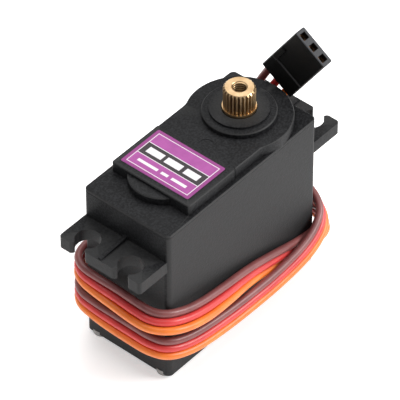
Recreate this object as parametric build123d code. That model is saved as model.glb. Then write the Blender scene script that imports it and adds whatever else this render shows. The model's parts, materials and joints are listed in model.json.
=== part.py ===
"""Hobby servo motor with a metal gear train, its lead wound round the case.

Origin: centre of the body, on the surface that the four screw heads stand on.
+X runs along the body towards the output shaft, +Z along the output shaft.
Heights below are measured from the underside of the case; `save` lifts each piece by FOOT.
"""
from build123d import *
import math
import os

# ---- driving dimensions, millimetres ---------------------------------------------------------
FOOT = 0.4                       # how far the screw heads stand out under the case
LENGTH, WIDTH = 40.7, 19.7       # body in plan
CORNER_R = 1.0                   # vertical corners of the body
WALL = 1.1
COVER_SEAM, TOP_SEAM = 8.0, 34.65
FLANGE_TOP = 35.2                # thin rim of the top cover
SEAM_BEVEL = 0.12
PLATE_TOP = 37.4                 # plate that carries the label
CEILING = 36.2                   # inside of the top cover over the gears
RING_TOP, STEP_TOP = 38.45, 38.9 # two rings that stand round the output shaft
COLLAR_TOP, SHAFT_TOP = 39.4, 43.7
DECK_LOW, DECK_TOP = 26.2, 27.6  # floor between motor and gears

EAR_TIP, EAR_HALF_WIDTH = 27.5, 9.45
EAR_LOW, EAR_TOP = 26.4, 28.95
EAR_HOLE_X, EAR_HOLE_Y, EAR_HOLE_R, EAR_MOUTH = 24.75, 5.0, 2.4, 2.7

SCREW_X, SCREW_Y = 18.75, 7.6
SCREW_R, SCREW_HEAD_R, SCREW_CLEAR = 0.8, 1.7, 0.05
POST_R = 1.9

# Gears: (teeth, module) of each driving pinion and driven wheel, from the motor to the output.
STAGES = [((12, 0.3), (52, 0.3)), ((12, 0.4), (36, 0.4)), ((13, 0.4), (35, 0.4)), ((12, 0.45), (36, 0.45))]
PRESSURE = math.radians(25)
ADDENDUM, DEDENDUM, BACKLASH = 0.85, 1.15, 0.07
FLANK_STEPS = 4
PIN_R, BORE_CLEAR = 1.0, 0.03
HORN_SCREW_R = 1.25              # tap size of the thread in the end of the shaft
REAR_PIN = (-9.9, 0.4)           # also the motor's axis
REAR_SPAN = sum(t * m for t, m in STAGES[0]) / 2
FRONT_PIN = (REAR_PIN[0] + math.sqrt(REAR_SPAN**2 - REAR_PIN[1]**2), 0.0)
OUTPUT = (FRONT_PIN[0] + sum(t * m for t, m in STAGES[3]) / 2, 0.0)

# Lead: three wires of WIRE_D side by side, wound twice round the case.
WIRE_D = 1.5
COIL_GAP, COIL_THICK, COIL_LOW, COIL_TOP = 0.15, 4.0, 4.0, 20.0
GROMMET_FACE = 22.5
# Connector: where the wires enter it, and the way its length points.
PLUG_FOOT = Vector(22.57, 0.6, 37.25)
PLUG_WAY = Vector(0, -0.5446, 0.8387)
PLUG_SIDE = Vector(0, 0.8387, 0.5446)
PLUG_LENGTH, PLUG_WIDTH, PLUG_THICK, PLUG_PITCH = 14.0, 7.9, 2.54, 2.54


# ---- helpers ---------------------------------------------------------------------------------
def save(name, shape):
    """Lift a piece onto its screw heads and write it, as one solid or a group of them."""
    shape = Pos(0, 0, FOOT) * shape
    solids = list(shape.solids())
    shape = solids[0] if len(solids) == 1 else Compound(children=solids)
    export_step(shape, f"parts/{name}.step")


def prism(sketch, low, high):
    return extrude(Pos(0, 0, low) * sketch, high - low)


def rod(at, radius, low, high):
    return prism(Pos(*at) * Circle(radius), low, high)


def tube(at, outer, inner, low, high):
    return rod(at, outer, low, high) - rod(at, inner, low, high)


def block(x, y, z):
    """Box given by its (low, high) along each axis."""
    size = [pair[1] - pair[0] for pair in (x, y, z)]
    middle = [(pair[1] + pair[0]) / 2 for pair in (x, y, z)]
    return Pos(*middle) * Box(*size)


def corners(x, y):
    return [(sx * x, sy * y) for sx in (-1, 1) for sy in (-1, 1)]


def body_outline(inset=0.0):
    return RectangleRounded(LENGTH - 2 * inset, WIDTH - 2 * inset, max(CORNER_R - inset, 0.3))


def involute(angle):
    return math.tan(angle) - angle


def gear_face(teeth, module, turn):
    """Outline of a spur gear with one tooth centred on the direction `turn`, in degrees."""
    pitch_r = teeth * module / 2
    base_r = pitch_r * math.cos(PRESSURE)
    root_r, tip_r = pitch_r - DEDENDUM * module, pitch_r + ADDENDUM * module
    half = math.pi / (2 * teeth) - BACKLASH / (2 * pitch_r) + involute(PRESSURE)
    start_r = max(base_r, root_r)
    flank = [(root_r, half - involute(math.acos(min(1, base_r / start_r))))] if root_r < base_r else []
    for step in range(FLANK_STEPS + 1):
        radius = start_r + (tip_r - start_r) * step / FLANK_STEPS
        flank.append((radius, half - involute(math.acos(min(1, base_r / radius)))))
    points = []
    for tooth in range(teeth):
        middle = math.radians(turn) + 2 * math.pi * tooth / teeth
        for radius, angle in flank:
            points.append((radius, middle - angle))
        for radius, angle in reversed(flank):
            points.append((radius, middle + angle))
    outline = [(radius * math.cos(angle), radius * math.sin(angle)) for radius, angle in points]
    return make_face(Polyline(*outline, close=True))


def gear(at, size, low, high, turn):
    return prism(Pos(*at) * gear_face(*size, turn), low, high)


def direction(start, end):
    return math.degrees(math.atan2(end[1] - start[1], end[0] - start[0]))


def meshed(pinion, wheel, pinion_at, wheel_at):
    """Turns of a pinion and the wheel it drives, a tooth of one in a gap of the other."""
    way = direction(pinion_at, wheel_at)
    return way, way + 180 + 180 / wheel[0]


# ---- case ------------------------------------------------------------------------------------
def screw_holes(low, high):
    return sum((rod(at, SCREW_R + SCREW_CLEAR, low, high) for at in corners(SCREW_X, SCREW_Y)), Part())


def posts(radius, low, high, inset=0.4):
    whole = sum((rod(at, radius, low, high) for at in corners(SCREW_X, SCREW_Y)), Part())
    return whole & prism(body_outline(inset), low, high)


def bottom_cover():
    floor = 1.2
    cover = prism(body_outline(), 0, COVER_SEAM)
    cover = chamfer(cover.faces().sort_by(Axis.Z)[0].edges(), 0.35)
    cover -= prism(body_outline(WALL), floor, COVER_SEAM)
    cover += posts(POST_R, floor, COVER_SEAM)
    for side in (-1, 1):
        ledge = sorted((side * 7.6, side * 9.0))
        cover += block((-6, 6), ledge, (floor, 4.6))
    cover -= screw_holes(-1, COVER_SEAM + 1)
    for at in corners(SCREW_X, SCREW_Y):
        cover -= rod(at, SCREW_HEAD_R + 0.1, -1, 0.9)
    return cover - block((18, 22), (-3.1, 3.1), (3.2, COVER_SEAM + 1))


def ear_sketch(side):
    """One mounting ear in plan: rounded tips and two screw slots open at the end."""
    root = LENGTH / 2 - 0.4
    ear = Pos(side * (EAR_TIP + root) / 2, 0) * Rectangle(EAR_TIP - root, 2 * EAR_HALF_WIDTH)
    for y in (-EAR_HOLE_Y, EAR_HOLE_Y):
        ear -= Pos(side * EAR_HOLE_X, y) * Circle(EAR_HOLE_R)
        ear -= Pos(side * (EAR_HOLE_X + 3), y) * Rectangle(6, EAR_MOUTH)
    return fillet([v for v in ear.vertices() if abs(v.X) > EAR_TIP - 0.01], 0.7)


def ear(side):
    shape = prism(ear_sketch(side), EAR_LOW, EAR_TOP)
    near, far = side * (LENGTH / 2 - 0.2), side * (EAR_TIP - 0.25)
    web = Plane.XZ * make_face(Polyline((near, EAR_TOP - 0.2), (far, EAR_TOP - 0.2), (far, EAR_TOP + 0.3),
                                        (near, EAR_TOP + 0.8), close=True))
    return shape + extrude(web, 0.4, both=True)


def pinion_bridge():
    """Bridge over the motor pinion that holds the lower end of the rear gear pin."""
    x, y = REAR_PIN
    plate, leg = (x - 2.4, x + 2.2), (x - 2.4, x + 0.8)
    bridge = block(plate, (-WIDTH / 2 + 0.5, WIDTH / 2 - 0.5), (29.9, 30.9))
    bridge += block(leg, (y + 3.6, WIDTH / 2 - 0.5), (DECK_TOP - 0.1, 30.0))
    return bridge + block(leg, (-WIDTH / 2 + 0.5, y - 3.6), (DECK_TOP - 0.1, 30.0))


def motor_screw_places():
    return [(REAR_PIN[0] - 4.2, REAR_PIN[1] + side * 2.6) for side in (-1, 1)]


def middle_case():
    shell = prism(body_outline(), COVER_SEAM, TOP_SEAM)
    shell = chamfer(shell.faces().sort_by(Axis.Z)[-1].edges(), SEAM_BEVEL)
    shell -= prism(body_outline(WALL), COVER_SEAM, TOP_SEAM)
    shell += prism(body_outline(WALL / 2), DECK_LOW, DECK_TOP)
    shell += posts(POST_R, COVER_SEAM, 31.0)
    shell += pinion_bridge() + rod(FRONT_PIN, 2.0, DECK_TOP - 0.1, DECK_TOP + 0.35)
    shell += rod(OUTPUT, 5.8, 24.6, DECK_TOP)
    shell += ear(-1) + ear(1)
    shell -= rod(OUTPUT, 4.6, 25.2, DECK_TOP + 1) + rod(OUTPUT, 3.2, 24, 26)
    shell -= rod(FRONT_PIN, PIN_R, 26.6, 29) + rod(REAR_PIN, PIN_R, 29, 31)
    shell -= rod(REAR_PIN, 2.6, 26, 29)
    for at in motor_screw_places():
        shell -= rod(at, SCREW_R + SCREW_CLEAR, 26, 29)
    return shell - screw_holes(COVER_SEAM - 1, TOP_SEAM + 1)


def top_outline():
    """Plan of the raised part of the top cover: neck, with the round boss blended into it."""
    neck_end, neck_half, boss_r = -1.1, 8.85, WIDTH / 2
    neck = Pos((neck_end + OUTPUT[0]) / 2, 0) * Rectangle(OUTPUT[0] - neck_end, 2 * neck_half)
    outline = neck + Pos(*OUTPUT) * Circle(boss_r)
    meet = OUTPUT[0] - math.sqrt(boss_r**2 - neck_half**2)
    inner = [v for v in outline.vertices() if abs(v.X - meet) < 0.05 and abs(abs(v.Y) - neck_half) < 0.05]
    return fillet(inner, 3.0)


def label_place(grow=0.0):
    return Pos(-7.3, 0.25) * RectangleRounded(10.3 + 2 * grow, 15.6 + 2 * grow, 0.3)


def top_cover():
    plate = Pos(-7.45, 0) * RectangleRounded(12.7, 18.0, 0.5)
    cover = prism(body_outline(), TOP_SEAM, FLANGE_TOP)
    cover = chamfer(cover.faces().filter_by(Axis.Z).edges(), SEAM_BEVEL)
    neck = prism(top_outline(), FLANGE_TOP - 0.1, PLATE_TOP)
    neck = chamfer(neck.faces().sort_by(Axis.Z)[-1].edges(), 0.15)
    plate = prism(plate, FLANGE_TOP - 0.1, PLATE_TOP)
    plate = chamfer(plate.faces().sort_by(Axis.Z)[-1].edges(), 0.15)
    raised = neck + plate + block((-2.0, 0.0), (-8.6, 8.6), (FLANGE_TOP, PLATE_TOP))
    dome = rod((-10.0, 0.4), 6.2, FLANGE_TOP - 0.1, 36.8)
    dome = chamfer(dome.faces().sort_by(Axis.Z)[-1].edges(), 0.2)
    rings = rod(OUTPUT, 6.85, PLATE_TOP - 0.1, RING_TOP)
    rings = chamfer(rings.faces().sort_by(Axis.Z)[-1].edges(), 0.2)
    rings += rod(OUTPUT, 5.5, RING_TOP - 0.1, STEP_TOP)
    cover += raised + dome + rings
    cover += posts(1.6, 31.05, FLANGE_TOP - 0.2, WALL + 0.05)
    cover -= screw_holes(30, 34.3)
    cover -= rod(OUTPUT, 8.75, 34, CEILING) + rod(FRONT_PIN, 4.2, 34, CEILING)
    cover -= rod(FRONT_PIN, PIN_R, 36, 37.0) + rod(REAR_PIN, PIN_R, 34, 36.4)
    cover -= rod(OUTPUT, 5.0, 36, 38.0) + rod(OUTPUT, 3.3, 36, 40)
    cover -= prism(label_place(0.05), PLATE_TOP - 0.1, PLATE_TOP + 1)
    return cover - rod((0.3, -0.9), 1.45, PLATE_TOP - 0.08, PLATE_TOP + 1)


def case_screws():
    screws = Part()
    for at in corners(SCREW_X, SCREW_Y):
        head = rod(at, SCREW_HEAD_R, -FOOT, 0.9)
        head = fillet(head.faces().sort_by(Axis.Z)[0].edges(), 0.3)
        head -= Pos(*at, -FOOT) * (Box(2.0, 0.45, 0.8) + Box(0.45, 2.0, 0.8))
        screws += head + rod(at, SCREW_R, 0.8, 34.2)
    return screws


# ---- gear train ------------------------------------------------------------------------------
def gears():
    """The four pinion-and-wheel pairs, each in mesh at rest."""
    motor, first, second, output = REAR_PIN, FRONT_PIN, REAR_PIN, OUTPUT
    turns = [meshed(*STAGES[0], motor, first), meshed(*STAGES[1], first, second),
             meshed(*STAGES[2], second, first), meshed(*STAGES[3], first, output)]
    bore = PIN_R + BORE_CLEAR
    pinion = gear(motor, STAGES[0][0], 28.0, 29.6, turns[0][0]) - rod(motor, PIN_R, 27, 30)
    one = gear(first, STAGES[0][1], 28.0, 29.6, turns[0][1]) + rod(first, 3.2, 29.5, 30.4)
    one += gear(first, STAGES[1][0], 29.5, 32.5, turns[1][0])
    two = gear(second, STAGES[1][1], 31.1, 32.5, turns[1][1])
    two += gear(second, STAGES[2][0], 32.4, 34.0, turns[2][0])
    three = gear(first, STAGES[2][1], 32.7, 34.0, turns[2][1])
    three += gear(first, STAGES[3][0], 33.9, 36.05, turns[3][0])
    save("motor_pinion", pinion)
    save("first_gear", one - rod(first, bore, 27, 33))
    save("second_gear", two - rod(second, bore, 30, 35))
    save("third_gear", three - rod(first, bore, 32, 37))
    save("output_gear_shaft", output_shaft(turns[3][1]))
    save("front_gear_pin", rod(first, PIN_R, 26.6, 36.9))
    save("rear_gear_pin", rod(second, PIN_R, 29.9, 36.3))


def output_spline():
    """Toothed end that the horn pushes onto, 25 teeth, with a bevelled top."""
    teeth, tip_r, root_r = 25, 2.97, 2.6
    shoulder_r = tip_r - 0.08
    outline = [(0, root_r), (0.2, root_r), (0.4, shoulder_r), (0.5, tip_r), (0.7, tip_r), (0.8, shoulder_r)]
    points = []
    for tooth in range(teeth):
        for share, radius in outline:
            angle = 2 * math.pi * (tooth + share) / teeth
            points.append((radius * math.cos(angle), radius * math.sin(angle)))
    spline = prism(Pos(*OUTPUT) * make_face(Polyline(*points, close=True)), COLLAR_TOP - 0.1, SHAFT_TOP)
    bevel = rod(OUTPUT, 3.2, COLLAR_TOP - 0.2, SHAFT_TOP)
    return spline & chamfer(bevel.faces().sort_by(Axis.Z)[-1].edges(), 0.6)


def output_shaft(turn):
    shaft = gear(OUTPUT, STAGES[3][1], 34.25, 36.05, turn)
    shaft += rod(OUTPUT, 2.4, 24.9, 31.0) + rod(OUTPUT, 3.0, 30.9, COLLAR_TOP)
    shaft += rod(OUTPUT, 3.15, 38.05, COLLAR_TOP) + output_spline()
    shaft -= rod(OUTPUT, HORN_SCREW_R, SHAFT_TOP - 9, SHAFT_TOP + 1) + rod(OUTPUT, 1.2, 24, 27.2)
    mouth = Pos(*OUTPUT, SHAFT_TOP - 0.25) * Cone(HORN_SCREW_R, HORN_SCREW_R + 0.5, 0.5,
                                                  align=(Align.CENTER, Align.CENTER, Align.MIN))
    return shaft - mouth


def bearings():
    save("upper_bearing_outer_race", tube(OUTPUT, 5.0, 4.05, CEILING, 38.0))
    save("upper_bearing_inner_race", tube(OUTPUT, 3.9, 3.0, 36.05, 37.9))
    save("lower_bearing_outer_race", tube(OUTPUT, 4.6, 3.3, 25.2, 27.5))
    save("lower_bearing_inner_race", tube(OUTPUT, 3.1, 2.4, 25.3, 27.5))


# ---- motor -----------------------------------------------------------------------------------
MOTOR_R, MOTOR_FLAT, MOTOR_LOW, MOTOR_TOP, CAN_SHEET = 8.7, 7.5, 7.0, 25.8, 0.8


def motor_outline(inset=0.0):
    flats = Rectangle(3 * MOTOR_R, 2 * (MOTOR_FLAT - inset))
    return Pos(*REAR_PIN) * (Circle(MOTOR_R - inset) & flats)


def motor_can():
    can = prism(motor_outline(), MOTOR_LOW, MOTOR_TOP)
    can = chamfer(can.faces().sort_by(Axis.Z)[-1].edges(), 0.4)
    can -= prism(motor_outline(CAN_SHEET), MOTOR_LOW - 1, MOTOR_TOP - CAN_SHEET)
    for at in motor_screw_places():
        can -= rod(at, SCREW_R, 24, 27)
    return can - rod(REAR_PIN, 2.5, 24, 27)


def motor_magnets():
    inner, outer = 6.1, MOTOR_R - CAN_SHEET
    ring = tube(REAR_PIN, outer, inner, 10.8, 22.8)
    x, y = REAR_PIN
    left = block((x - 9, x - 4.2), (y - 6, y + 6), (10, 23))
    right = block((x + 4.2, x + 9), (y - 6, y + 6), (10, 23))
    return ring & (left + right)


def armature():
    """Three-pole core with its windings as one wound shape."""
    core = Part()
    for pole in range(3):
        arm = Pos(2.5, 0) * Rectangle(5, 2.4)
        shoe = (Circle(5.7) - Circle(4.6)) & Pos(5, 0) * Rectangle(6, 8.6)
        core += prism(Pos(*REAR_PIN) * Rot(0, 0, 120 * pole) * (arm + shoe), 12.0, 21.5)
    core += rod(REAR_PIN, 3.9, 11.3, 22.2)
    return core - rod(REAR_PIN, PIN_R, 10, 24)


def motor():
    x, y = REAR_PIN
    save("motor_can", motor_can())
    save("motor_magnets", motor_magnets())
    save("armature", armature())
    save("commutator", tube(REAR_PIN, 2.2, PIN_R, 8.7, 10.9))
    save("motor_shaft", rod(REAR_PIN, PIN_R, 6.8, 29.6))
    save("motor_bushing", tube(REAR_PIN, 2.5, PIN_R + BORE_CLEAR, 24.4, 27.4))
    cap = prism(motor_outline(CAN_SHEET), MOTOR_LOW, 8.4) - rod(REAR_PIN, PIN_R + BORE_CLEAR, 6, 9)
    save("motor_end_cap", cap)
    brushes = [block((x + low, x + low + 2.35), (y - 0.8, y + 0.8), (8.4, 10.2)) for low in (-4.6, 2.25)]
    save("motor_brushes", Compound(children=[b.solid() for b in brushes]))
    tabs = [block((x + low, x + low + 1.8), (y - 0.25, y + 0.25), (5.8, MOTOR_LOW)) for low in (-5.9, 4.1)]
    save("motor_terminals", Compound(children=[t.solid() for t in tabs]))
    screws = Part()
    for at in motor_screw_places():
        screws += rod(at, 1.5, DECK_TOP, 28.5) + rod(at, SCREW_R, 25.1, DECK_TOP)
    save("motor_screws", screws)


# ---- electronics -----------------------------------------------------------------------------
def electronics():
    body = rod(OUTPUT, 5.0, 19.0, 24.6) + block((5.0, 16.0), (-6.2, 0), (19.0, 20.4))
    save("potentiometer_body", body - rod(OUTPUT, 1.25, 18, 25))
    save("potentiometer_shaft", rod(OUTPUT, 1.2, 18.4, 27.0))
    leg_places = [OUTPUT[0] + k * 2.5 for k in (-1, 0, 1)]
    legs = [block((x - 0.3, x + 0.3), (-5.9, -5.5), (5.8, 19.0)) for x in leg_places]
    save("potentiometer_legs", Compound(children=[leg.solid() for leg in legs]))
    board = prism(Rectangle(35.0, 17.0), 4.6, 5.8)
    for at in corners(SCREW_X, SCREW_Y):
        board -= rod(at, POST_R + 0.2, 4, 7)
    save("control_board", board)
    chips = [block((-12, -5), (-3, 3), (3.1, 4.6)), block((-1, 4), (-5, -1), (3.3, 4.6)),
             block((-1, 4), (1, 5), (3.3, 4.6)), block((7, 9), (-2, 2), (3.9, 4.6)),
             rod((5.5, 4.4), 2.2, 5.8, 11.0), block((10, 13.5), (1.5, 4.5), (5.8, 7.4))]
    save("board_components", Compound(children=[chip.solid() for chip in chips]))


# ---- lead and connector ----------------------------------------------------------------------
def cable_grommet():
    sleeve = block((18.6, GROMMET_FACE), (-3.0, 3.0), (3.3, COVER_SEAM - 0.1))
    return sleeve + block((18.0, 19.2), (-3.9, 3.9), (2.6, COVER_SEAM - 0.1))


def lead_coil():
    """Outer shape of the two turns of the lead round the case."""
    inner = body_outline(-COIL_GAP)
    outer = RectangleRounded(LENGTH + 2 * (COIL_GAP + COIL_THICK), WIDTH + 2 * (COIL_GAP + COIL_THICK), 5.0)
    band = prism(outer - inner, COIL_LOW, COIL_TOP)
    return band - block((20, GROMMET_FACE), (-3.2, 3.2), (COIL_LOW - 1, COVER_SEAM + 0.1))


def wire_route(place):
    """Rise of one wire from the coil to the connector; place is -1, 0 or 1 across the ribbon."""
    entry = PLUG_FOOT + PLUG_SIDE * (place * PLUG_PITCH)
    middle = [(15.0, 12.0, 20.0), (15.2, 12.0, 23.0), (18.6, 12.9, 27.4), (22.3, 10.9, 31.6)]
    spread = [(-1.8, 0, 0), (-1.8, 0, 0.3), (-1.4, 0.3, 1.1), (-0.9, 0.5, 1.4)]
    route = [Vector(*m) + Vector(*s) * place for m, s in zip(middle, spread)]
    return route + [entry - PLUG_WAY * (6.5 - 0.3 * place), entry]


def bend_radii(route):
    radii = []
    for before, corner, after in zip(route, route[1:], route[2:]):
        first, second = corner - before, after - corner
        half = math.radians(first.get_angle(second)) / 2
        radii.append(0.45 * min(first.length, second.length) / math.tan(half))
    return radii


def wires():
    for name, place in (("ground_wire", 1), ("power_wire", 0), ("signal_wire", -1)):
        route = wire_route(place)
        radii = bend_radii(route)
        path = FilletPolyline(*route, radius=radii)
        start = Plane(origin=route[0], z_dir=route[1] - route[0])
        solid = sweep(start * Circle(WIRE_D / 2), path)
        expected = math.pi * WIRE_D**2 / 4 * path.length
        print(name, "radii", [round(r, 1) for r in radii], "length", round(path.length, 2),
              "volume ratio", round(solid.volume / expected, 4))
        save(name, solid)


def connector():
    place = Plane(origin=PLUG_FOOT, x_dir=(1, 0, 0), z_dir=PLUG_WAY).location
    at_foot = (Align.CENTER, Align.CENTER, Align.MIN)
    shell = Box(PLUG_THICK, PLUG_WIDTH, PLUG_LENGTH, align=at_foot)
    shell = chamfer(shell.edges(), 0.2)
    shell += Pos(-PLUG_THICK / 2, PLUG_WIDTH / 2 - 0.7, PLUG_LENGTH * 0.45) * Box(0.6, 1.0, 4.2)
    shell += Pos(-PLUG_THICK / 2, 0, PLUG_LENGTH * 0.34) * Box(0.3, PLUG_WIDTH - 0.5, 0.3)
    contacts = []
    for k in (-1, 0, 1):
        way = Pos(0, k * PLUG_PITCH, 0)
        shell -= way * Pos(0, 0, 3.0) * Box(1.7, 1.7, PLUG_LENGTH - 3.8, align=at_foot)
        shell -= way * Pos(-0.1, 0, PLUG_LENGTH - 1) * Box(1.4, 1.4, 2, align=at_foot)
        clip = Pos(0, 0, 3.2) * (Box(1.6, 1.6, 9.6, align=at_foot) - Box(0.8, 0.8, 12, align=at_foot))
        contacts.append((place * way * clip).solid())
    save("connector_housing", place * shell)
    save("connector_contacts", Compound(children=contacts))


def main():
    os.makedirs("parts", exist_ok=True)
    save("bottom_cover", bottom_cover())
    save("middle_case", middle_case())
    save("top_cover", top_cover())
    save("label", prism(label_place(), PLATE_TOP - 0.1, PLATE_TOP + 0.02))
    save("case_screws", case_screws())
    gears()
    bearings()
    motor()
    electronics()
    save("cable_grommet", cable_grommet())
    save("lead_coil", lead_coil())
    wires()
    connector()


main()
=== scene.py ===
"""Looks for the hobby servo motor: camera, light, materials and the wound lead."""
import json
import math

import bpy
from mathutils import Euler, Matrix, Vector


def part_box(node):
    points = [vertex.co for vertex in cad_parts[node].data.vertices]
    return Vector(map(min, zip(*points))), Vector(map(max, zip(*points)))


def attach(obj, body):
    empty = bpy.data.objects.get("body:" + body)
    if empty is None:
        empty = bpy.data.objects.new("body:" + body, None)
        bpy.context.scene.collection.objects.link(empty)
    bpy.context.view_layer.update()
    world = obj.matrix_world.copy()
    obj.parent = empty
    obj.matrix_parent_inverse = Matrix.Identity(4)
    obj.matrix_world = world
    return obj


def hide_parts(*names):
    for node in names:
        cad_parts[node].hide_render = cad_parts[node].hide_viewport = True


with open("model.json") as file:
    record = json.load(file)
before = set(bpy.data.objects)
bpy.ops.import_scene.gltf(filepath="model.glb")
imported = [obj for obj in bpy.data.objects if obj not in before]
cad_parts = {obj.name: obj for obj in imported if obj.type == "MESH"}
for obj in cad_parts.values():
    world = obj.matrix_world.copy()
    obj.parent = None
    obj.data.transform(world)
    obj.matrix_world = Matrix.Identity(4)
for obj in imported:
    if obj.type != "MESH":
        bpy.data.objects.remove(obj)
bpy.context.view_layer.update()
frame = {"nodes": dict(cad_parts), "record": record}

MM, MICRON = 1e-3, 1e-6
FOOT = 0.4                                   # the case stands this far up on its screw heads, mm
CASE_X, CASE_Y = 20.35, 9.85                 # half sizes of the case in plan, mm
CASE = "case"
UP = Vector((0, 0, 1))

# Camera: angles in degrees, place in metres above the underside of the case.
CAMERA_AZIMUTH, CAMERA_ELEVATION, CAMERA_ROLL = -49.42, 43.76, -0.07
CAMERA_PLACE = (-0.43686, -0.37391, 0.57418)
CAMERA_LENS, CAMERA_SENSOR = 400, 36
CAMERA_NEAR, CAMERA_FAR = 0.05, 10

# Lights: name, place and size in metres, power in watts. All point at the middle of the case.
LIGHTS = [("key", (0.33, -0.43, 0.38), 3.3, 0.30),
          ("top", (0.02, 0.10, 0.65), 2.7, 0.55),
          ("back", (0.40, 0.34, 0.52), 0.5, 0.35)]
LIGHT_AIM = (0, 0, 0.02)
STUDIO_LIGHT = 0.35
FLOOR_SIZE, FLOOR_GREY, FLOOR_GLOW = 6, 0.93, 0.45

# Output shaft, mm: radii of the spline's tips and roots, inner limit of the spline's painted shade,
# outer limit of the hole's, pitch of its thread, and how much of the top is left without painted
# root shade.
SPLINE_TIP, SPLINE_ROOT, SPLINE_EDGE = 2.97, 2.6, 2.0
BORE_EDGE, THREAD_PITCH, SHAFT_BEVEL = 1.4, 0.5, 0.2

# Label, mm: margin and frame line, dark band from the end nearer the output shaft, the gaps that
# the two rows of bars leave beyond their ends, and the bars' own ends across the label.
LABEL_MARGIN, LABEL_LINE = 0.7, 0.16
BAND_START, BAND_END = 3.45, 6.65
BAND_BAR_GAP, LOWER_BAR_GAP = 0.85, 1.15
BAND_BARS = [(-5.9, -2.7), (-1.9, 1.7), (2.4, 5.9)]
LOWER_BARS = [(-5.6, -2.2), (-1.4, 0.2), (1.0, 5.6)]

# Connector: where the wires enter it, the way its length points and the way its wires lie, mm.
PLUG_FOOT = Vector((22.57, 0.6, 37.25))
PLUG_WAY = Vector((0, -0.5446, 0.8387))
PLUG_SIDE = Vector((0, 0.8387, 0.5446))
PLUG_PITCH, PLUG_LENGTH = 2.54, 14.0
PLUG_RIB, PLUG_RIB_HALF, PLUG_END_HIGHLIGHT_DEPTH = 4.76, 0.16, 0.1  # rib's place and the half width of its painted highlight, depth of the end face's painted highlight

# Lead: three wires side by side, wound clockwise from the grommet, twice round the case. Lengths
# are in mm apart from LEAD_LENGTH, and heights are from the underside of the case.
WIRE_D, WIRE_PITCH = 1.5, 1.6
GROMMET_FACE, GROMMET_HEIGHT, GROMMET_PITCH = 22.5, 5.6, 1.7
# Name, CAD node, place in the ribbon (1 is the top wire) and material slot of each wire.
WIRES = [("brown_wire", "ground_wire", 1, "brown_insulation"),
         ("red_wire", "power_wire", 0, "red_insulation"),
         ("orange_wire", "signal_wire", -1, "orange_insulation")]
# Routes before and after the turns: a point of the middle wire, and the step to the top wire.
EXIT_ROUTE = [((GROMMET_FACE - 3.0, 0, GROMMET_HEIGHT), (0, -GROMMET_PITCH, 0)),
              ((23.9, 0, GROMMET_HEIGHT), (-0.5, -GROMMET_PITCH, 0.6)),
              ((26.5, -2.9, GROMMET_HEIGHT), (-0.5, -GROMMET_PITCH - 0.3, 1.4)),
              ((25.7, -6.9, 5.9), (-0.6, -0.9, 1.6)),
              ((23.8, -10.4, 6.2), (-0.7, 0, WIRE_PITCH))]
RISE_ROUTE = [((14.2, 13.2, 18.8), (-0.7, 0, 1.5)),
              ((17.4, 13.2, 22.8), (-1.2, 0.1, 1.1)),
              ((19.4, 12.9, 27.2), (-1.4, 0.3, 1.0)),
              ((22.4, 11.2, 30.8), (-1.3, 0.5, 0.8)),
              ((22.6, 4.2, 30.7), (-1.2, 1.9, 0.8))]
PLUG_LEAD_IN, PLUG_DEPTH = 1.5, 0.3
# Each key: quarter turns from the middle of the +X side, height of the middle wire, lean of the
# ribbon in degrees (90 is upright, more has the top wire nearer the case), swell off the case.
INNER_TURN = [(0.65, 7.5, 90, 1.5), (0.75, 9, 90, 1.5), (1, 11.5, 95, 1.5), (1.25, 13.5, 120, 3.5),
              (1.5, 16, 130, 3.75), (2, 16.5, 120, 3), (2.25, 17.5, 100, 3.5),
              (2.5, 17.5, 90, 3.5), (2.75, 17.5, 90, 2), (3.25, 17, 90, 2)]
OUTER_TURN = [(3.5, 17, 95, 3.5), (4, 15.5, 110, 3), (4.25, 13, 110, 3), (4.5, 10.5, 110, 3.75),
              (4.75, 7.5, 95, 4.25), (5, 6.5, 95, 3.5), (5.25, 7, 100, 3.25), (5.5, 9, 100, 3.5),
              (5.75, 10, 105, 3), (6, 10, 105, 3), (6.25, 11, 95, 3.5), (6.5, 11, 90, 3.5),
              (7, 14, 90, 4.5), (7.2, 16.5, 90, 4.5)]
WINDING = INNER_TURN + OUTER_TURN
STEPS_PER_QUARTER = 6
BOXINESS = 6                                 # how square the turns are in plan
SWELL_SIDEWAYS = 0.75                        # share of the swell on the long sides


# ---- camera, light and stage -----------------------------------------------------------------
def set_camera():
    azimuth, elevation, roll = (math.radians(angle) for angle in
                                (CAMERA_AZIMUTH, CAMERA_ELEVATION, CAMERA_ROLL))
    turn = Euler((math.pi / 2 - elevation, 0, azimuth)).to_matrix() @ Matrix.Rotation(roll, 3, "Z")
    place = Vector(CAMERA_PLACE) + UP * FOOT * MM
    data = bpy.data.cameras.new("camera")
    data.lens, data.sensor_width = CAMERA_LENS, CAMERA_SENSOR
    data.clip_start, data.clip_end = CAMERA_NEAR, CAMERA_FAR
    camera = bpy.data.objects.new("camera", data)
    camera.matrix_world = Matrix.Translation(place) @ turn.to_4x4()
    bpy.context.scene.collection.objects.link(camera)
    bpy.context.scene.camera = camera


def area_light(name, place, power, size):
    data = bpy.data.lights.new(name, "AREA")
    data.energy, data.size = power, size
    lamp = bpy.data.objects.new(name, data)
    lamp.location = place
    lamp.rotation_euler = (Vector(LIGHT_AIM) - Vector(place)).to_track_quat("-Z", "Y").to_euler()
    bpy.context.scene.collection.objects.link(lamp)


def set_light():
    world = bpy.data.worlds.new("studio")
    world.use_nodes = True
    background = world.node_tree.nodes["Background"]
    background.inputs["Color"].default_value = (1, 1, 1, 1)
    background.inputs["Strength"].default_value = STUDIO_LIGHT
    bpy.context.scene.world = world
    bpy.context.scene.view_settings.view_transform = "Standard"
    for light in LIGHTS:
        area_light(*light)


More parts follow.
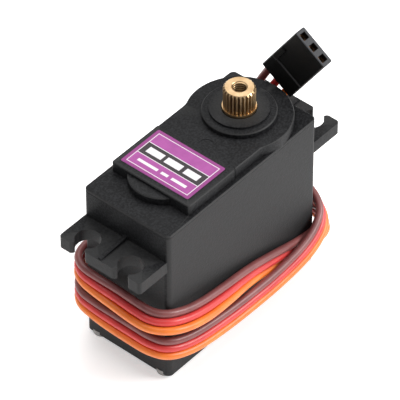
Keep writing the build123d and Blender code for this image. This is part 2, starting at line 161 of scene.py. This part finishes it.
def set_floor():
    bpy.ops.mesh.primitive_plane_add(size=FLOOR_SIZE, location=(0, 0, 0))
    floor = bpy.context.object
    floor.name = "floor"
    paper, shader = new_material("floor_paper")
    shader.inputs["Base Color"].default_value = (FLOOR_GREY, FLOOR_GREY, FLOOR_GREY, 1)
    shader.inputs["Roughness"].default_value = 0.9
    shader.inputs["Emission Color"].default_value = (1, 1, 1, 1)
    shader.inputs["Emission Strength"].default_value = FLOOR_GLOW
    floor.data.materials.append(paper)


# ---- node helpers ----------------------------------------------------------------------------
def new_material(name):
    material = bpy.data.materials.new(name)
    material.use_nodes = True
    return material, material.node_tree.nodes["Principled BSDF"]


class Nodes:
    """Short names for building a material's node tree."""

    def __init__(self, name):
        self.material, self.shader = new_material(name)
        self.tree = self.material.node_tree
        coordinates = self.add("ShaderNodeTexCoord")
        self.place, self.normal = coordinates.outputs["Object"], coordinates.outputs["Normal"]

    def add(self, kind, **settings):
        node = self.tree.nodes.new(kind)
        for key, value in settings.items():
            setattr(node, key, value)
        return node

    def feed(self, socket, value):
        """Link value to the socket if it is a socket itself, or else set it."""
        if isinstance(value, bpy.types.NodeSocket):
            self.tree.links.new(value, socket)
        else:
            socket.default_value = value

    def paint(self, socket, colour):
        """As feed, for a colour socket: a plain colour has no alpha yet."""
        self.feed(socket, colour if isinstance(colour, bpy.types.NodeSocket) else (*colour, 1))

    def math(self, operation, a, b=0.0):
        node = self.add("ShaderNodeMath", operation=operation)
        self.feed(node.inputs[0], a)
        self.feed(node.inputs[1], b)
        return node.outputs[0]

    def times(self, *values):
        """Product of the values."""
        product = values[0]
        for value in values[1:]:
            product = self.math("MULTIPLY", product, value)
        return product

    def noise(self, scale, detail=3.0, stretch=(1, 1, 1)):
        mapping = self.add("ShaderNodeMapping")
        mapping.inputs["Scale"].default_value = stretch
        self.feed(mapping.inputs["Vector"], self.place)
        node = self.add("ShaderNodeTexNoise")
        self.feed(node.inputs["Vector"], mapping.outputs[0])
        node.inputs["Scale"].default_value = scale
        node.inputs["Detail"].default_value = detail
        node.inputs["Roughness"].default_value = 0.55
        return node.outputs["Fac"]

    def ramp(self, value, stops):
        node = self.add("ShaderNodeValToRGB")
        while len(node.color_ramp.elements) < len(stops):
            node.color_ramp.elements.new(0.5)
        for element, (position, colour) in zip(node.color_ramp.elements, stops):
            element.position = position
            element.color = (*colour, 1)
        self.feed(node.inputs["Fac"], value)
        return node.outputs["Color"]

    def blend(self, share, first, second):
        node = self.add("ShaderNodeMix", data_type="RGBA")
        self.feed(node.inputs["Factor"], share)
        self.paint(node.inputs[6], first)
        self.paint(node.inputs[7], second)
        return node.outputs[2]

    def spread(self, value, before=(0.0, 1.0), after=(0.0, 1.0)):
        """Value from the range before spread over the range after."""
        node = self.add("ShaderNodeMapRange")
        self.feed(node.inputs["Value"], value)
        node.inputs["From Min"].default_value, node.inputs["From Max"].default_value = before
        node.inputs["To Min"].default_value, node.inputs["To Max"].default_value = after
        return node.outputs[0]

    def axis(self, vector, name):
        node = self.add("ShaderNodeSeparateXYZ")
        self.feed(node.inputs[0], vector)
        return node.outputs[name]

    def between(self, value, low, high):
        """1 where value is between low and high, else 0."""
        return self.times(self.math("GREATER_THAN", value, low),
                          self.math("LESS_THAN", value, high))

    def bump(self, height, distance, strength=1.0):
        node = self.add("ShaderNodeBump")
        node.inputs["Strength"].default_value = strength
        node.inputs["Distance"].default_value = distance
        self.feed(node.inputs["Height"], height)
        normal = self.shader.inputs["Normal"]
        if normal.is_linked:
            self.tree.links.new(normal.links[0].from_socket, node.inputs["Normal"])
        self.feed(normal, node.outputs[0])

    def edge_wear_and_highlight(self):
        """Share of wear and painted highlight on convex edges."""
        pointy = self.add("ShaderNodeNewGeometry").outputs["Pointiness"]
        return self.spread(pointy, before=(0.53, 0.62))

    def look(self, colour, roughness, metallic=0.0):
        self.paint(self.shader.inputs["Base Color"], colour)
        self.feed(self.shader.inputs["Roughness"], roughness)
        self.shader.inputs["Metallic"].default_value = metallic
        return self.material


# ---- materials -------------------------------------------------------------------------------
def moulded_plastic(name, dark, light, grain=2600.0, rough=(0.42, 0.58)):
    """Matt moulding with a fine spark-eroded grain, cloudy tone, and bevels and edges painted
    paler: a painted highlight with some wear.
    """
    worn_highlit_edge_colour, highlight_bevel_slopes, speckle_gain = (0.04, 0.04, 0.04), (0.3, 0.93), 2.6
    n = Nodes(name)
    fine = n.noise(grain, 4.0)
    speckle = n.ramp(fine, [(0.40, (0, 0, 0)), (0.64, (1, 1, 1))])
    colour = n.ramp(n.noise(90.0), [(0.3, dark), (0.7, light)])
    colour = n.blend(speckle, colour, tuple(speckle_gain * c for c in light))
    # Painted highlight: sloped bevels and convex edges are painted paler, partly as wear and mostly
    # as the light they catch.
    slope = n.math("ABSOLUTE", n.axis(n.normal, "Z"))
    wear_and_highlight_edges = n.math("MAXIMUM", n.edge_wear_and_highlight(), n.between(slope, *highlight_bevel_slopes))
    colour = n.blend(n.times(wear_and_highlight_edges, 0.7), colour, worn_highlit_edge_colour)
    n.bump(fine, 60 * MICRON, 0.8)
    n.bump(n.noise(160.0, 2.0), 40 * MICRON, 0.15)
    n.shader.inputs["Specular IOR Level"].default_value = 0.15
    return n.look(colour, n.spread(fine, after=rough))


def connector_plastic():
    """Black moulding with a painted highlight on the rib across it and on its end face."""
    n = Nodes("connector_plastic")
    fine = n.noise(3200.0, 4.0)
    along = n.add("ShaderNodeVectorMath", operation="DOT_PRODUCT")
    n.feed(along.inputs[0], n.place)
    along.inputs[1].default_value = PLUG_WAY
    foot = (PLUG_FOOT + UP * FOOT).dot(PLUG_WAY) * MM
    reach = n.math("DIVIDE", n.math("SUBTRACT", along.outputs["Value"], foot), MM)
    colour = n.ramp(fine, [(0.4, (0.002, 0.002, 0.002)), (0.64, (0.005, 0.005, 0.005))])
    # Painted highlight: the rib and the end face are painted paler where they catch the light.
    rib_highlight = n.between(reach, PLUG_RIB - PLUG_RIB_HALF, PLUG_RIB + PLUG_RIB_HALF)
    colour = n.blend(n.times(rib_highlight, 0.8), colour, (0.05, 0.05, 0.052))
    end = n.math("GREATER_THAN", reach, PLUG_LENGTH - PLUG_END_HIGHLIGHT_DEPTH)
    colour = n.blend(end, colour, (0.045, 0.046, 0.05))
    n.bump(fine, 30 * MICRON, 0.8)
    n.shader.inputs["Specular IOR Level"].default_value = 0.25
    return n.look(colour, n.spread(fine, after=(0.36, 0.48)))


def metal(name, dark, light, rough, grain=900.0, stretch=(1, 1, 1), depth=10 * MICRON):
    """Stained metal, drawn or turned along the stretch."""
    n = Nodes(name)
    lines = n.noise(grain, stretch=stretch)
    colour = n.ramp(n.noise(220.0), [(0.32, dark), (0.68, light)])
    n.bump(lines, depth, 0.5)
    return n.look(colour, n.spread(lines, after=rough), 1.0)


def insulation(name, dark, light):
    """Soft extruded wire cover: slightly waxy, with faint scuffs and a drawn surface."""
    n = Nodes(name)
    colour = n.ramp(n.noise(260.0), [(0.3, dark), (0.7, light)])
    scuff = n.noise(1500.0, 4.0)
    n.bump(scuff, 20 * MICRON, 0.35)
    n.bump(n.noise(120.0, 2.0), 60 * MICRON, 0.3)
    n.shader.inputs["Coat Weight"].default_value = 0.25
    n.shader.inputs["Coat Roughness"].default_value = 0.25
    n.shader.inputs["Subsurface Weight"].default_value = 0.05
    n.shader.inputs["Subsurface Radius"].default_value = (0.8 * MM, 0.4 * MM, 0.3 * MM)
    return n.look(colour, n.spread(scuff, after=(0.36, 0.5)))


def label_film():
    """Printed film: magenta field, white frame lines, a dark band and plain light bars."""
    rim, ink = (0.26, 0.026, 0.20), (0.018, 0.010, 0.014)
    rule, bar = (0.74, 0.66, 0.72), (0.76, 0.72, 0.75)
    low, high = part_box("label")
    length, half_width = (high.x - low.x) / MM, (high.y - low.y) / 2 / MM
    n = Nodes("label_film")
    along = n.math("DIVIDE", n.math("SUBTRACT", high.x, n.axis(n.place, "X")), MM)
    across = n.math("DIVIDE", n.math("SUBTRACT", n.axis(n.place, "Y"), (low.y + high.y) / 2), MM)
    reach = n.math("ABSOLUTE", across)

    def field(margin):
        return n.times(n.between(along, margin, length - margin),
                       n.math("LESS_THAN", reach, half_width - margin))

    magenta = n.ramp(n.noise(500.0), [(0.35, (0.33, 0.050, 0.27)), (0.65, (0.38, 0.064, 0.31))])
    inside, in_line = field(LABEL_MARGIN), field(LABEL_MARGIN + LABEL_LINE)
    colour = n.blend(inside, rim, magenta)
    colour = n.blend(n.math("SUBTRACT", inside, in_line), colour, rule)
    colour = n.blend(n.times(n.between(along, BAND_START, BAND_END), in_line), colour, ink)
    for edge in (BAND_START, BAND_END):
        line = n.between(along, edge - LABEL_LINE / 2, edge + LABEL_LINE / 2)
        colour = n.blend(n.times(line, inside), colour, rule)
    rows = [(BAND_START + BAND_BAR_GAP, BAND_END - BAND_BAR_GAP, BAND_BARS),
            (BAND_END + LOWER_BAR_GAP, length - LABEL_MARGIN - LOWER_BAR_GAP, LOWER_BARS)]
    for start, end, bars in rows:
        for left, right in bars:
            here = n.times(n.between(along, start, end), n.between(across, left, right))
            colour = n.blend(here, colour, bar)
    n.bump(n.noise(700.0), 20 * MICRON, 0.25)
    return n.look(colour, n.spread(n.noise(400.0, 2.0), after=(0.34, 0.48)))


def gear_brass():
    """Cut brass: turning marks, painted shade in the roots between the spline's teeth, and a thread
    in its hole drawn as painted shade with a bump.
    """
    low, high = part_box("output_gear_shaft")
    n = Nodes("gear_brass")
    height = n.axis(n.place, "Z")
    x = n.math("SUBTRACT", n.axis(n.place, "X"), (low.x + high.x) / 2)
    y = n.math("SUBTRACT", n.axis(n.place, "Y"), (low.y + high.y) / 2)
    radius = n.math("SQRT", n.math("ADD", n.times(x, x), n.times(y, y)))
    colour = n.ramp(n.noise(420.0, 4.0), [(0.3, (0.50, 0.33, 0.17)), (0.7, (0.74, 0.53, 0.31))])
    # Painted shade: the roots between the spline's teeth are darkened.
    depth = n.spread(radius, before=(SPLINE_TIP * MM, SPLINE_ROOT * MM))
    on_teeth = n.math("LESS_THAN", height, high.z - SHAFT_BEVEL * MM)
    root_shade = n.times(depth, on_teeth, n.math("GREATER_THAN", radius, SPLINE_EDGE * MM))
    colour = n.blend(n.times(root_shade, 0.85), colour, (0.10, 0.06, 0.025))
    # Painted shade: the hole's thread grooves are darkened, and the same bands drive a bump.
    turn = n.math("DIVIDE", n.math("ARCTAN2", y, x), 2 * math.pi)
    groove = n.math("ADD", n.math("DIVIDE", height, THREAD_PITCH * MM), turn)
    groove = n.math("PINGPONG", groove, 0.5)
    in_bore = n.math("LESS_THAN", radius, BORE_EDGE * MM)
    colour = n.blend(n.times(in_bore, n.times(groove, 1.7)), colour, (0.05, 0.03, 0.012))
    lines = n.noise(1400.0, stretch=(1, 1, 6))
    n.bump(n.times(groove, in_bore), 400 * MICRON)
    n.bump(lines, 20 * MICRON, 0.4)
    return n.look(colour, n.spread(lines, after=(0.28, 0.42)), 1.0)


def board_laminate():
    """Green board with lighter copper areas under the lacquer."""
    n = Nodes("board_laminate")
    tracks = n.add("ShaderNodeTexBrick")
    n.feed(tracks.inputs["Vector"], n.place)
    tracks.inputs["Scale"].default_value = 400.0
    colour = n.blend(tracks.outputs["Fac"], (0.012, 0.10, 0.035), (0.03, 0.20, 0.07))
    n.bump(tracks.outputs["Fac"], 30 * MICRON, 0.5)
    return n.look(colour, n.spread(n.noise(900.0), after=(0.3, 0.45)))


def make_materials():
    """Every finish, under the name of its material slot."""
    mouldings = {
        "case_plastic": ((0.004, 0.0041, 0.0046), (0.008, 0.0081, 0.0088)),
        "chip_plastic": ((0.02, 0.02, 0.02), (0.035, 0.035, 0.035), 3000.0),
        "grommet_rubber": ((0.012, 0.012, 0.012), (0.02, 0.02, 0.02), 1800.0, (0.7, 0.85)),
        "magnet": ((0.05, 0.05, 0.055), (0.09, 0.09, 0.095), 2400.0, (0.5, 0.7)),
    }
    metals = {
        "screw_steel": ((0.22, 0.22, 0.22), (0.40, 0.39, 0.37), (0.3, 0.45)),
        "bearing_steel": ((0.55, 0.55, 0.56), (0.75, 0.75, 0.76), (0.15, 0.28), 1200.0),
        "can_steel": ((0.42, 0.42, 0.43), (0.58, 0.58, 0.59), (0.28, 0.42), 800.0, (1, 1, 9)),
        "contact_metal": ((0.55, 0.30, 0.16), (0.80, 0.50, 0.30), (0.25, 0.4), 1400.0),
        "winding_copper": ((0.42, 0.16, 0.07), (0.66, 0.30, 0.14), (0.25, 0.42), 1500.0,
                           (1, 1, 12), 80 * MICRON),
    }
    wire_covers = {
        "brown_insulation": ((0.18, 0.046, 0.045), (0.26, 0.074, 0.070)),
        "red_insulation": ((0.62, 0.028, 0.030), (0.74, 0.050, 0.045)),
        "orange_insulation": ((0.84, 0.17, 0.014), (0.94, 0.24, 0.028)),
    }
    materials = {"connector_plastic": connector_plastic(), "label_film": label_film(),
                 "gear_brass": gear_brass(), "board_laminate": board_laminate()}
    for make, finishes in (
            (moulded_plastic, mouldings), (metal, metals), (insulation, wire_covers)):
        for name, finish in finishes.items():
            materials[name] = make(name, *finish)
    return materials


def paint_nodes(materials):
    slots = {part["node"]: part["material_slot"] for part in frame["record"]["subparts"]}
    for name, node in frame["nodes"].items():
        node.data.materials.clear()
        node.data.materials.append(materials[slots[name]])


# ---- lead ------------------------------------------------------------------------------------
def winding_at(quarter):
    """Height, lean and swell of the ribbon at a place between two keys of the winding."""
    for before, after in zip(WINDING, WINDING[1:]):
        if quarter <= after[0]:
            share = max(0.0, (quarter - before[0]) / (after[0] - before[0]))
            return [a + share * (b - a) for a, b in zip(before[1:], after[1:])]
    return WINDING[-1][1:]


def round_the_case(quarter, swell):
    """Point and outward direction on a rounded box round the case, clockwise from +X."""
    half_x, half_y = CASE_X + swell, CASE_Y + SWELL_SIDEWAYS * swell
    side = math.floor(quarter + 0.5) % 4
    f = 2 * ((quarter + 0.5) % 1) - 1
    u, v = ((1, -f), (-f, -1), (-1, f), (f, 1))[side]
    r = (abs(u) ** BOXINESS + abs(v) ** BOXINESS) ** (-1 / BOXINESS)
    x, y = half_x * u * r, half_y * v * r
    out = Vector((math.copysign(abs(x / half_x) ** (BOXINESS - 1) / half_x, x),
                  math.copysign(abs(y / half_y) ** (BOXINESS - 1) / half_y, y), 0)).normalized()
    return Vector((x, y, 0)), out


def turns(place):
    """Points of one wire in the two turns; place is 1, 0 or -1 down the ribbon."""
    first, last = WINDING[0][0], WINDING[-1][0]
    count = round((last - first) * STEPS_PER_QUARTER)
    points = []
    for step in range(count + 1):
        quarter = first + (last - first) * step / count
        height, lean, swell = winding_at(quarter)
        point, out = round_the_case(quarter, swell)
        to_next = out * math.cos(math.radians(lean)) + UP * math.sin(math.radians(lean))
        points.append(point + UP * height + to_next * place * WIRE_PITCH)
    return points


def wire_points(place):
    """Whole route of one wire, from the grommet through the turns and up to the connector."""
    start, rise = ([Vector(middle) + Vector(step) * place for middle, step in route]
                   for route in (EXIT_ROUTE, RISE_ROUTE))
    entry = PLUG_FOOT + PLUG_SIDE * (place * PLUG_PITCH)
    end = [entry - PLUG_WAY * PLUG_LEAD_IN, entry + PLUG_WAY * PLUG_DEPTH]
    return start + turns(place) + rise + end


def make_wire(name, node, place, slot, materials):
    curve = bpy.data.curves.new(name, "CURVE")
    curve.dimensions = "3D"
    curve.bevel_depth = WIRE_D / 2 * MM
    curve.bevel_resolution = 6
    curve.resolution_u = 6
    curve.use_fill_caps = True
    spline = curve.splines.new("NURBS")
    points = wire_points(place)
    spline.points.add(len(points) - 1)
    for target, point in zip(spline.points, points):
        target.co = (*(point + UP * FOOT) * MM, 1)
    spline.order_u = 3
    spline.use_endpoint_u = True
    wire = bpy.data.objects.new(name, curve)
    bpy.context.scene.collection.objects.link(wire)
    curve.materials.append(materials[slot])
    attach(wire, CASE)
    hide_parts("lead_coil", node)


set_camera()
set_light()
set_floor()
palette = make_materials()
paint_nodes(palette)
for wire_row in WIRES:
    make_wire(*wire_row, palette)
